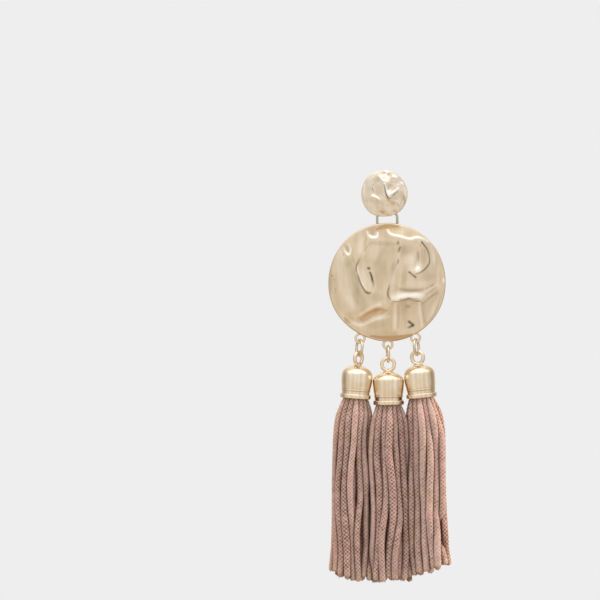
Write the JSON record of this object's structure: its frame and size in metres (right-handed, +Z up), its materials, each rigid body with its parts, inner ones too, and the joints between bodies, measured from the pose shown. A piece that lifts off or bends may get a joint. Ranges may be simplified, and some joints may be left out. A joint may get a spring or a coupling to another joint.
{
  "type": "tassel drop earring",
  "caption": "Hammered stud and large hammered disc joined by a wire link, with capped tassels of knitted cord hanging from loops under the disc.",
  "frame": {"origin": "middle of the stud's flat back, where the ear post leaves it", "axes": "+Z up, the hammered faces look along -Y, and the ear post points along +Y into the ear"},
  "size_m": [0.0319, 0.0162, 0.1089],
  "materials": {
    "hammered_gold": "pale gold plate, polished over a hammered casting",
    "gold_wire": "pale gold plate on drawn wire, polished",
    "cap_gold": "warm gold plate on a smooth casting, polished",
    "knitted_cord": "dusty rose knitted cord, satin"
  },
  "bodies": {
    "stud": {"stud_disc": "hammered_gold", "ear_post": "gold_wire"},
    "link": {"hinge_link": "gold_wire"},
    "drop": {"main_disc": "hammered_gold", "jump_ring_left": "gold_wire", "jump_ring_centre": "gold_wire", "jump_ring_right": "gold_wire", "tassel_cap_left": "cap_gold", "tassel_cap_centre": "cap_gold", "tassel_cap_right": "cap_gold", "tassel_left": "knitted_cord", "tassel_centre": "knitted_cord", "tassel_right": "knitted_cord"}
  },
  "joints": [
    {"name": "link_swing", "type": "hinge", "parent": "stud", "child": "link", "pos_m": [0.0007, 0.00072, -0.00505], "axis": [1, 0, 0], "range_deg": [-15, 60]},
    {"name": "drop_swing", "type": "hinge", "parent": "link", "child": "drop", "pos_m": [0.0007, 0.00072, -0.00895], "axis": [1, 0, 0], "range_deg": [-15, 60]}
  ]
}
